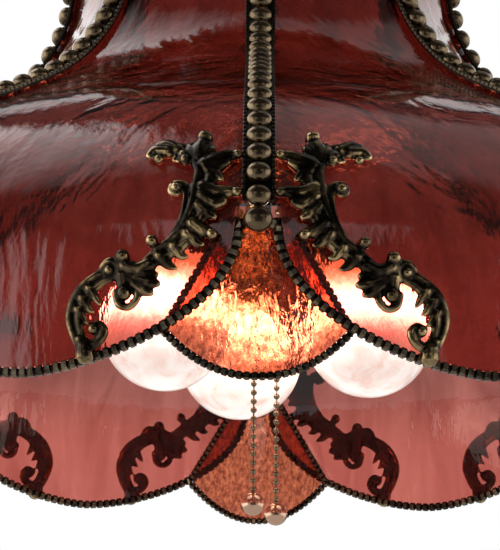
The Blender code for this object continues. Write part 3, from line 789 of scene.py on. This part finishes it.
def rim_trim():
    """The crimped trims of all the lobes and tongues, with the big bead at each rib's foot."""
    shape = bmesh.new()
    notched_bar(shape, *lobe_trim_path(), TRIM_WIDTH, TRIM_DEPTH)
    came_points, came_normals = tongue_came_path()
    for number in range(SIDES):
        turn = Matrix.Rotation(number * 2 * HALF_ANGLE, 3, "Z")
        points = [turn @ point for point in came_points]
        normals = [turn @ normal for normal in came_normals]
        notched_bar(shape, points, normals, CAME_WIDTH, CAME_DEPTH, 4.2 * MM)
    bar_faces = len(shape.faces)
    for number in range(SIDES):
        turn = Matrix.Rotation(number * 2 * HALF_ANGLE, 3, "Z")
        axes = [turn @ axis for axis in surface_axes(FOOT_S)]
        add_ball(shape, turn @ corner_point(0, FOOT_S + 2 * MM, 3.5 * MM), axes, LAST_BEAD_SIZE, 28, 16)
        add_ball(shape, turn @ corner_point(0, FOOT_S + 6 * MM, -3 * MM), axes, (5 * MM, 5 * MM, 7 * MM))
    shape.faces.ensure_lookup_table()
    for face in shape.faces[bar_faces:]:
        face.material_index = 1
    face_outward(shape)
    piece("rim_trim_crimped", shape, [TRIM_BRASS, BEAD_BRASS], ["rim_trim"])


# ---- the filigrees

# Strokes of one filigree, seen from outside, in mm: (distance from the rib, height above the
# last bead, half width), before seated() and the widening below. A grooved stroke has a furrow
# down its middle.
GROOVED_STROKES = [
    [(82, -22, 3.2), (91, -25, 4.2), (100, -33, 4.8), (104.5, -44, 4.6), (103, -55, 3.8), (98.5, -64, 3.6)],
    [
        (64, -18, 3.2),
        (54, -12, 4.6),
        (43, -4, 5.2),
        (35, 9, 5.6),
        (31.5, 24, 5.8),
        (30.5, 38, 5.6),
        (34, 48, 4.6),
    ],
    [(49, -4, 2.2), (43, 5, 2.8), (40, 15, 3.0), (40.5, 23, 2.6), (44, 29, 2.3), (49, 30, 2.0)],
    [(30.5, 38, 4.2), (34, 48, 4.0), (40, 53.5, 3.4), (46, 53, 2.6), (48.5, 48.5, 2.2)],
    [(32, 46, 3.6), (41, 57, 3.6), (51, 59, 3.4), (58, 55, 2.8), (58.5, 49, 2.2)],
]
PLAIN_STROKES = [
    [(98.5, -64, 3.8), (98, -68, 4.2)],
    [
        (101, -60, 2.6),
        (95.5, -63, 2.4),
        (90, -60.5, 2.3),
        (87.5, -55, 2.2),
        (90.5, -50.5, 2.0),
        (95, -52, 1.8),
    ],
    [(96, -30, 2.8), (92, -36, 1.9), (90, -39, 0.9)],
    [(100, -35, 2.8), (96, -41, 1.9), (93.5, -43.5, 0.9)],
    [(102.5, -41, 2.6), (99, -47, 1.8), (97, -49.5, 0.9)],
    [(79, -25, 2.4), (79.5, -18, 2.4), (85, -15.5, 2.2), (89, -19.5, 2.0), (86, -23.5, 1.8)],
    [(76, -18, 3.4), (69, -21, 3.6), (62, -18.5, 3.4)],
    [(73, -22, 3.0), (64, -23, 2.8), (58.5, -24, 1.8)],
    [(73, -24, 3.0), (63, -28, 3.0), (57.5, -29, 2.0)],
    [(73, -26, 3.0), (65, -32, 2.8), (61, -34, 1.8)],
    [(77, -24, 3.4), (76, -30, 3.6)],
    [(70.5, -29, 1.9), (68.5, -36, 1.9), (73, -41, 1.9), (79, -39.5, 1.9), (81, -33, 1.9)],
    [(77.5, -14, 2.0), (80, -17.5, 2.0), (76, -21, 2.2), (68, -21.5, 2.4), (60, -16, 2.6)],
    [(60, -7, 1.6), (57.5, -11, 2.0), (54, -14, 2.4)],
    [(50, 28.5, 1.8), (50.5, 24.5, 1.8), (47, 23, 1.7)],
    [(44, 53, 2.6), (40.5, 49, 2.2), (43, 46, 1.8)],
    [(33, 48, 3.6), (33.5, 56, 4.0), (31, 63, 3.2)],
    [(31, 50, 3.0), (27, 56, 2.4), (26.5, 60, 1.4)],
    [(36, 50, 3.0), (39, 58, 2.6), (37, 63, 1.4)],
    [(48, 58, 3.4), (53, 62.5, 3.2), (58.5, 62, 2.4)],
    [(53, 57, 3.4), (60, 58, 3.0), (64, 54.5, 2.0)],
    [(30, 43, 4.0), (23, 47, 3.8), (17, 50, 3.0), (11, 50, 2.2)],
    [(29, 41, 3.6), (23, 41.5, 3.4), (17.5, 44.5, 2.2)],
    [(29, 39, 3.2), (24, 35.5, 2.9), (21, 31.5, 1.8)],
    [(31, 25, 3.8), (24, 22, 3.8), (17, 22.5, 2.8), (10.5, 21.5, 2.2)],
    [(31, 20, 3.8), (25, 16, 3.6), (19, 16.5, 2.2)],
    [(33, 14, 3.4), (28, 9, 3.0), (24.5, 7, 1.8)],
    [(37, 3, 3.4), (31, -1, 3.0), (26, -2.5, 2.2)],
    [(40, -2, 3.2), (35, -7, 2.6), (31.5, -8.5, 1.6)],
    [(48, -9, 3.0), (44, -14, 2.2), (40.5, -15, 1.2)],
    [(56, -14, 3.0), (51, -19, 2.2), (47, -21, 1.2)],
]
# Balls of one filigree, before the same: (distance, height, radius, how far the middle stands
# out), all in mm.
BALLS = [
    (93, -54, 2.9, 5.2),
    (84.5, -20.5, 2.6, 5.4),
    (75.5, -34, 3.6, 6.2),
    (77, -13, 3.7, 5.4),
    (60.5, -5.5, 3.1, 5.2),
    (47.5, 26, 2.6, 5.4),
    (43, 48, 2.4, 5.4),
    (58, 49.5, 2.5, 5.2),
    (30.5, 67, 3.9, 5.2),
    (10.5, 50, 2.6, 5.0),
    (10.5, 21, 2.6, 5.0),
    (25, -3.5, 2.9, 5.0),
]
SEAT_SHIFT = 2.5  # mm that the points away from the rib move towards it
SEAT_SHIFT_START = 10  # mm from the rib, where that begins
SEAT_SHIFT_REACH = 35  # mm over which it grows
SEAT_DROP = 2  # mm that the points move down
SEAT_SQUEEZE = 0.92  # of the heights above the last bead
FOOT_HEIGHT = -60  # mm, where the filigree stands and does not move
FOOT_FADE = 20  # mm over which the drop fades out above the foot
FINE_LINE = 2.05  # mm: a half width below this is widened less
FINE_WIDENING = 1.15
GROOVED_WIDENING = 1.2
PLAIN_WIDENING = 1.3
BALL_WIDENING = 1.12
STROKE_HEIGHT = 4.4 * MM  # of the strokes' middles above the middle of the glass
FILIGREE_FLAT = 2.3 * MM  # its flat back
FLATTENING = 0.8
VOXEL = 0.75 * MM


def seated(distance, height):
    """Where a drawn point sits on the lamp, in mm, to the nearest half."""
    shift = SEAT_SHIFT * min(1, max(0, (distance - SEAT_SHIFT_START) / SEAT_SHIFT_REACH))
    drop = SEAT_DROP * min(1, max(0, (height - FOOT_HEIGHT) / FOOT_FADE))
    if height > 0:
        height *= SEAT_SQUEEZE
    return round((distance - shift) * 2) / 2, round((height - drop) * 2) / 2


def seated_stroke(stroke, widening):
    """A drawn stroke in metres, placed on the lamp and widened to its cast size."""
    placed = []
    for distance, height, half_wide in stroke:
        x, y = seated(distance, height)
        wider = FINE_WIDENING if half_wide < FINE_LINE else widening
        placed.append((x * MM, y * MM + FOOT_S, round(half_wide * wider, 1) * MM))
    return catmull_rom(placed, 6)


def add_tube(shape, points, sides=12):
    """A round-ended tube through (x, y, radius) points, lying flat at the stroke height."""
    rings = []
    count = len(points)
    for i, (x, y, radius) in enumerate(points):
        ahead = points[min(i + 1, count - 1)]
        behind = points[max(i - 1, 0)]
        along = Vector((ahead[0] - behind[0], ahead[1] - behind[1], 0)).normalized()
        across = Vector((-along.y, along.x, 0))
        ring = []
        for k in range(sides):
            angle = 2 * math.pi * k / sides
            rise = STROKE_HEIGHT + radius * FLATTENING * math.sin(angle)
            ring.append(shape.verts.new(Vector((x, y, rise)) + across * radius * math.cos(angle)))
        rings.append(ring)
    join_rings(shape, rings)
    shape.faces.new(rings[0][::-1])
    shape.faces.new(rings[-1])
    for x, y, radius in (points[0], points[-1]):
        size = (radius, radius, radius * FLATTENING)
        add_ball(shape, Vector((x, y, STROKE_HEIGHT)), WORLD_AXES, size, 12, 8)


def offset_line(points, share, scale):
    """A line beside the given one, at a share of its half width."""
    made = []
    count = len(points)
    for i, (x, y, radius) in enumerate(points):
        ahead = points[min(i + 1, count - 1)]
        behind = points[max(i - 1, 0)]
        along = Vector((ahead[0] - behind[0], ahead[1] - behind[1])).normalized()
        made.append((x - along.y * radius * share, y + along.x * radius * share, radius * scale))
    return made


def flat_filigree():
    """One filigree laid flat: x is the distance from the rib, y is s, z is outward."""
    shape = bmesh.new()
    for stroke in GROOVED_STROKES:
        line = seated_stroke(stroke, GROOVED_WIDENING)
        add_tube(shape, offset_line(line, 0.5, 0.52))
        add_tube(shape, offset_line(line, -0.5, 0.52))
    for stroke in PLAIN_STROKES:
        add_tube(shape, seated_stroke(stroke, PLAIN_WIDENING))
    for distance, height, radius, out in BALLS:
        x, y = seated(distance, height)
        centre = Vector((x * MM, y * MM + FOOT_S, out * MM))
        add_ball(shape, centre, WORLD_AXES, [round(radius * BALL_WIDENING, 1) * MM] * 3, 16, 10)
    face_outward(shape)
    mesh = bpy.data.meshes.new("filigree_draft")
    shape.to_mesh(mesh)
    shape.free()
    draft = bpy.data.objects.new("filigree_draft", mesh)
    bpy.context.scene.collection.objects.link(draft)
    remesh = draft.modifiers.new("remesh", "REMESH")
    remesh.mode = "VOXEL"
    remesh.voxel_size = VOXEL
    relax = draft.modifiers.new("relax", "SMOOTH")
    relax.factor = 0.5
    relax.iterations = 3
    bpy.context.view_layer.update()
    evaluated = draft.evaluated_get(bpy.context.evaluated_depsgraph_get())
    finished = bmesh.new()
    finished.from_mesh(evaluated.to_mesh())
    bpy.data.objects.remove(draft)
    for vert in finished.verts:
        vert.co.z = max(vert.co.z, FILIGREE_FLAT)
    return finished


def filigrees():
    flat = flat_filigree()
    for side, word in ((-1, "left"), (1, "right")):
        bent = flat.copy()
        for vert in bent.verts:
            distance, s, out = vert.co
            vert.co = beside_rib(0, side, distance, s, out)
        if side < 0:
            bmesh.ops.reverse_faces(bent, faces=bent.faces)
        for number in range(1, SIDES + 1):
            made = turn_round(bent.copy(), (number - 1) * 2 * HALF_ANGLE)
            node = f"filigree_{word}_{number}"
            piece(f"{node}_casting", made, ANTIQUE_BRASS, [node], smooth_angle=80)
        bent.free()
    flat.free()


# ---- the fittings of the neck


def add_bead_row(shape, count, radius, z, size):
    """Small balls in a ring about Z."""
    for i in range(count):
        azimuth = 2 * math.pi * i / count
        add_ball(shape, around(azimuth, radius, 0, HANG_HEIGHT + z), WORLD_AXES, [size] * 3, 10, 7)


def crown_ring():
    """The ring that closes the neck, with rolled edges and a row of beads."""
    low = at(NECK_RING_LOW_H)
    top = at(NECK_RING_TOP_H)
    edge = [(0, 1), (0.3, 0.4), (1, 0)]  # how far in, and how far from the end, in mm
    outline = [(NECK_RING_OUTER - a * MM, top - b * MM) for a, b in edge[::-1]]
    outline += [(NECK_RING_OUTER, top - 2.6 * MM), (NECK_RING_OUTER - 1.2 * MM, top - 3.4 * MM)]
    outline += [(NECK_RING_OUTER - 1.2 * MM, low + 3.4 * MM), (NECK_RING_OUTER, low + 2.6 * MM)]
    outline += [(NECK_RING_OUTER - a * MM, low + b * MM) for a, b in edge]
    outline += [(NECK_RING_LEDGE, low), (NECK_RING_LEDGE, at(NECK_RING_LEDGE_H))]
    outline += [(NECK_RING_INNER, at(NECK_RING_LEDGE_H)), (NECK_RING_INNER, top)]
    shape = turned(outline, 128)
    add_bead_row(shape, 120, NECK_RING_OUTER - 1 * MM, (low + top) / 2, 2.2 * MM)
    piece("crown_ring_cast", shape, SPUN_BRASS, ["crown_ring"])


def vent_cap():
    """The spun cap over the neck, with a raised boss and a beaded rim."""
    top = at(CAP_TOP_H)
    low = at(CAP_LOW_H)
    dome = [(24, 7), (42, 9.5), (62, 13), (84, 18.5), (104, 26), (118, 32)]  # radius, depth in mm
    outer = catmull_rom([(r * MM, top - d * MM) for r, d in dome], 6)
    boss = [(STEM_HOLE, top), (15 * MM, top), (16.4 * MM, top - 0.6 * MM), (18 * MM, top - 3 * MM)]
    boss.append((20 * MM, top - 6 * MM))
    outline = boss + outer + [(NECK_RING_OUTER - 2 * MM, low + 3 * MM), (NECK_RING_OUTER, low + 1.6 * MM)]
    outline += [(NECK_RING_OUTER, low), (NECK_RING_OUTER - 1.4 * CAP_THICKNESS, low)]
    outline += [(r - 0.4 * MM, z - CAP_THICKNESS) for r, z in outer[::-1]]
    outline += [(14 * MM, top - CAP_THICKNESS), (STEM_HOLE, top - CAP_THICKNESS)]
    shape = turned(outline, 128)
    add_bead_row(shape, 96, NECK_RING_OUTER - 4.4 * MM, low + 4.2 * MM, 2.2 * MM)
    piece("vent_cap_spun", shape, SPUN_BRASS, ["vent_cap"])


def hanging_loop():
    """A cast eye on a turned base."""
    centre = LOOP_WIRE - LOOP_RADIUS
    low = at(LOOP_BASE_H)
    high = centre - LOOP_RADIUS + LOOP_WIRE
    floor_z = low + LOOP_SOCKET_DEPTH
    outline = [(0, floor_z), (STEM_HOLE, floor_z), (STEM_HOLE, low), (LOOP_BASE_RADIUS, low)]
    steps = [(8, 3), (7.4, 3.8), (6.2, 4.6), (6.2, 6.2), (7.2, 7), (7.2, 8.4), (5.4, 9.6), (4.4, 11)]
    outline += [(r * MM, low + z * MM) for r, z in steps] + [(0, high)]
    shape = turned(outline, 48)
    turns = 72
    sides = 18
    rings = []
    for i in range(turns):
        angle = 2 * math.pi * i / turns
        ring = []
        for k in range(sides):
            wire_angle = 2 * math.pi * k / sides
            radius = LOOP_RADIUS + LOOP_WIRE * math.cos(wire_angle)
            x = radius * math.cos(angle)
            z = centre + radius * math.sin(angle)
            ring.append(shape.verts.new((x, LOOP_WIRE * math.sin(wire_angle), z)))
        rings.append(ring)
    join_rings(shape, rings + rings[:1])
    face_outward(shape)
    piece("hanging_loop_cast", shape, FITTING_BRASS, ["hanging_loop"])


# ---- the cluster, bulbs and pulls


def bulb_place(number):
    """Turns a piece that was made hanging straight down below the cluster's centre."""
    azimuth = FIRST_BULB_AZIMUTH + number * 2 * math.pi / BULB_COUNT
    direction = around(azimuth, math.sin(BULB_TILT), 0, HANG_HEIGHT - math.cos(BULB_TILT))
    turn = Vector((0, 0, -1)).rotation_difference(direction).to_matrix().to_4x4()
    return Matrix.Translation((0, 0, at(CLUSTER_H))) @ turn


def bulb(number):
    """A round globe with a moulded neck and a threaded base."""
    base_end = BULB_REACH - BULB_LENGTH
    neck_end = SOCKET_END + 2 * MM
    threads = 7
    outline = []
    for i in range(threads * 4):
        share = i / (threads * 4)
        ripple = 0.35 * MM * math.cos(2 * math.pi * share * threads)
        outline.append((BULB_BASE_RADIUS - 0.5 * MM + ripple, -base_end + (base_end - neck_end) * share))
    first = math.radians(28)
    arc_steps = 40
    inner = []
    for step in range(arc_steps):
        angle = first + (math.pi - first) * step / arc_steps
        outline.append((BULB_RADIUS * math.sin(angle), -BULB_REACH + BULB_RADIUS * math.cos(angle)))
        radius = BULB_RADIUS - BULB_WALL
        inner.append((radius * math.sin(angle), -BULB_REACH + radius * math.cos(angle)))
    outline.append((0, -BULB_REACH - BULB_RADIUS))
    inner.append((0, -BULB_REACH - BULB_RADIUS + BULB_WALL))
    inner.insert(0, (BULB_BASE_RADIUS - 2 * BULB_WALL, -base_end))
    shape = turned(inner[::-1] + outline)
    bmesh.ops.transform(shape, verts=shape.verts, matrix=bulb_place(number))
    name = f"bulb_{number + 1}"
    piece(f"{name}_globe", shape, BULB_GLASS, [name], f"lit_{name}", 60)


def socket(number):
    """A lamp holder with a stepped shoulder and ribbed skirt."""
    outline = [(0, -SOCKET_START), (SOCKET_RADIUS - 4 * MM, -SOCKET_START)]
    outline.append((SOCKET_RADIUS - 1.2 * MM, -SOCKET_START - 2 * MM))
    outline.append((SOCKET_RADIUS - 0.8 * MM, -SOCKET_START - 8 * MM))
    rings = 5
    ring_pitch = 5 * MM
    for ring in range(rings):
        z = -SOCKET_START - 10 * MM - ring * ring_pitch
        outline += [(SOCKET_RADIUS - 0.8 * MM, z), (SOCKET_RADIUS - 0.1 * MM, z - 1.2 * MM)]
        outline += [(SOCKET_RADIUS - 0.1 * MM, z - 2.4 * MM), (SOCKET_RADIUS - 0.8 * MM, z - 3.6 * MM)]
    outline += [(SOCKET_RADIUS - 0.2 * MM, -SOCKET_END + 3 * MM), (SOCKET_RADIUS - 0.2 * MM, -SOCKET_END)]
    outline += [(SOCKET_BORE, -SOCKET_END), (SOCKET_BORE, -SOCKET_FLOOR), (0, -SOCKET_FLOOR)]
    name = f"socket_{number + 1}"
    place = bulb_place(number)
    piece(f"{name}_shell", turned(outline, 48), FITTING_BRASS, [name], place=place)


def pull(number):
    """A ball chain with its copper end ball."""
    x, y = PULL_POSITIONS[number]
    top = at(CHAIN_TOP_H)
    low = at(PULL_BALL_H[number] + PULL_BALL_RADIUS + 0.3 * MM)
    length = top - low
    chain = bmesh.new()
    count = round(length / CHAIN_PITCH)
    for i in range(count):
        z = top - CHAIN_BEAD_RADIUS - (length - 2 * CHAIN_BEAD_RADIUS) * i / (count - 1)
        add_ball(chain, Vector((x, y, z)), WORLD_AXES, [CHAIN_BEAD_RADIUS] * 3, 12, 8)
    link = turned([(0.55 * MM, top), (0.55 * MM, low), (0.3 * MM, low), (0.3 * MM, top)], 8)
    bmesh.ops.translate(link, verts=link.verts, vec=(x, y, 0))
    mesh = bpy.data.meshes.new("chain_link")
    link.to_mesh(mesh)
    link.free()
    chain.from_mesh(mesh)
    bpy.data.meshes.remove(mesh)
    body = f"chain_{number + 1}"
    node = f"pull_chain_{number + 1}"
    chain_piece = piece(f"ball_chain_{number + 1}", chain, BEAD_BRASS, [node], body)
    radius = PULL_BALL_RADIUS
    outline = [(0, radius + 0.2 * MM), (2.0 * MM, radius + 0.2 * MM), (2.4 * MM, radius - 1.2 * MM)]
    outline.append((3.0 * MM, math.sqrt(radius**2 - (3.0 * MM) ** 2)))
    arc_steps = 28
    first = math.asin(3.3 * MM / radius)
    for step in range(arc_steps):
        angle = first + (math.pi - first) * step / arc_steps
        outline.append((radius * math.sin(angle), radius * math.cos(angle)))
    outline.append((0, -radius))
    place = Matrix.Translation((x, y, at(PULL_BALL_H[number])))
    name = f"end_ball_{number + 1}"
    node = f"pull_ball_{number + 1}"
    ball = piece(name, turned(outline, 48), COPPER, [node], body, 50, place)


# ---- camera, light and floor


def camera():
    """Stands in front of the lamp and below its rim, and looks up into it."""
    pitch = 0.18884
    yaw = -0.0040
    roll = -0.00873
    place = (0.00255, -2.039, at(-270.2 * MM))
    level = Vector((math.cos(yaw), -math.sin(yaw), 0))
    forward = Vector((math.sin(yaw) * math.cos(pitch), math.cos(yaw) * math.cos(pitch), math.sin(pitch)))
    upward = level.cross(forward)
    right = level * math.cos(roll) - upward * math.sin(roll)
    up = level * math.sin(roll) + upward * math.cos(roll)
    data = bpy.data.cameras.new("camera")
    data.lens = 212.4
    data.sensor_width = 36
    made = bpy.data.objects.new("camera", data)
    bpy.context.scene.collection.objects.link(made)
    turn = Matrix((right, up, -forward)).transposed().to_4x4()
    made.matrix_world = Matrix.Translation(place) @ turn
    bpy.context.scene.camera = made


def studio():
    """A white surround. Reflections and lighting see a dim room with soft boxes instead."""
    world = bpy.data.worlds.new("studio")
    bpy.context.scene.world = world
    world.use_nodes = True
    tree = world.node_tree
    background = tree.nodes["Background"]
    coordinates = tree.nodes.new("ShaderNodeTexCoord")
    split = tree.nodes.new("ShaderNodeSeparateXYZ")
    tree.links.new(coordinates.outputs["Generated"], split.inputs["Vector"])
    x, y, z = split.outputs

    def calculate(operation, *values):
        node = tree.nodes.new("ShaderNodeMath")
        node.operation = operation
        for socket, value in zip(node.inputs, values):
            if isinstance(value, (int, float)):
                socket.default_value = value
            else:
                tree.links.new(value, socket)
        return node.outputs["Value"]

    def band(source, low, high, soft, level):
        """A soft-edged band of light where the source lies between low and high."""
        rise = calculate("MULTIPLY_ADD", source, 1 / soft, -low / soft)
        rise.node.use_clamp = True
        fall = calculate("MULTIPLY_ADD", source, -1 / soft, high / soft)
        fall.node.use_clamp = True
        return calculate("MULTIPLY", calculate("MULTIPLY", rise, fall), level)

    def box(low, high, soft, level):
        """A box of light between two corners of the sphere of directions."""
        light = level
        for source, start, end in zip((x, y, z), low, high):
            light = calculate("MULTIPLY", band(source, start, end, soft, 1), light)
        return light

    lights = [
        calculate("MULTIPLY", box((-0.9, -0.1, 0.6), (-0.26, 0.68, 2), 0.05, 2.1), band(y, -0.08, 2, 0.5, 1)),
        box((-0.8, 0.45, 0.05), (-0.2, 2, 0.56), 0.06, 1.9),
        box((0.2, 0.45, 0.05), (0.8, 2, 0.56), 0.06, 1.2),
        box((-0.1, 0.0, 0.6), (0.7, 0.6, 2), 0.1, 0.35),
        box((-2, -2, -0.25), (-0.72, 2, 0.6), 0.05, 1.7),
        box((0.76, -2, -0.25), (2, 2, 0.5), 0.05, 1.3),
        box((-2, 0.3, 0.58), (2, 2, 0.68), 0.03, 0.9),
        box((-0.62, -2, 0.36), (-0.24, 0, 0.56), 0.04, 0.9),
        box((0.24, -2, 0.36), (0.62, 0, 0.56), 0.04, 0.7),
        box((-0.66, -2, -0.5), (-0.42, 0, 0.3), 0.06, 0.8),
        box((0.46, -2, -0.5), (0.7, 0, 0.3), 0.06, 0.6),
    ]
    total = 0.05
    for light in lights:
        total = calculate("ADD", light, total)
    path = tree.nodes.new("ShaderNodeLightPath")
    seen = calculate("MAXIMUM", path.outputs["Is Camera Ray"], path.outputs["Is Transmission Ray"])
    strength = calculate("MAXIMUM", total, seen)
    tree.links.new(strength, background.inputs["Strength"])
    background.inputs["Color"].default_value = (1, 1, 1, 1)
    bpy.context.scene.view_settings.view_transform = "Standard"


def floor():
    bpy.ops.mesh.primitive_plane_add(size=FLOOR_SIZE, location=(0, 0, FLOOR_Z))
    made = bpy.context.active_object
    made.name = "floor"
    made.data.materials.append(pale_floor())


# ---- the whole lamp


def carried_fittings():
    """CAD nodes whose shape is right keep it, and take a finished material."""
    fittings = ["spider", "stem", "cap_nut", "cluster_body"]
    fittings += [f"pull_eyelet_{number + 1}" for number in range(len(PULL_POSITIONS))]
    for node in fittings:
        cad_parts[node].data.materials.clear()
        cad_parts[node].data.materials.append(FITTING_BRASS)


camera()
for number in range(len(PULL_POSITIONS)):
    pull(number)
glass_panels()
for number in range(1, SIDES + 1):
    tongue_sheet(number)
ribs()
rim_trim()
filigrees()
for number in range(BULB_COUNT):
    bulb(number)
    socket(number)
crown_ring()
vent_cap()
hanging_loop()
carried_fittings()
studio()
floor()
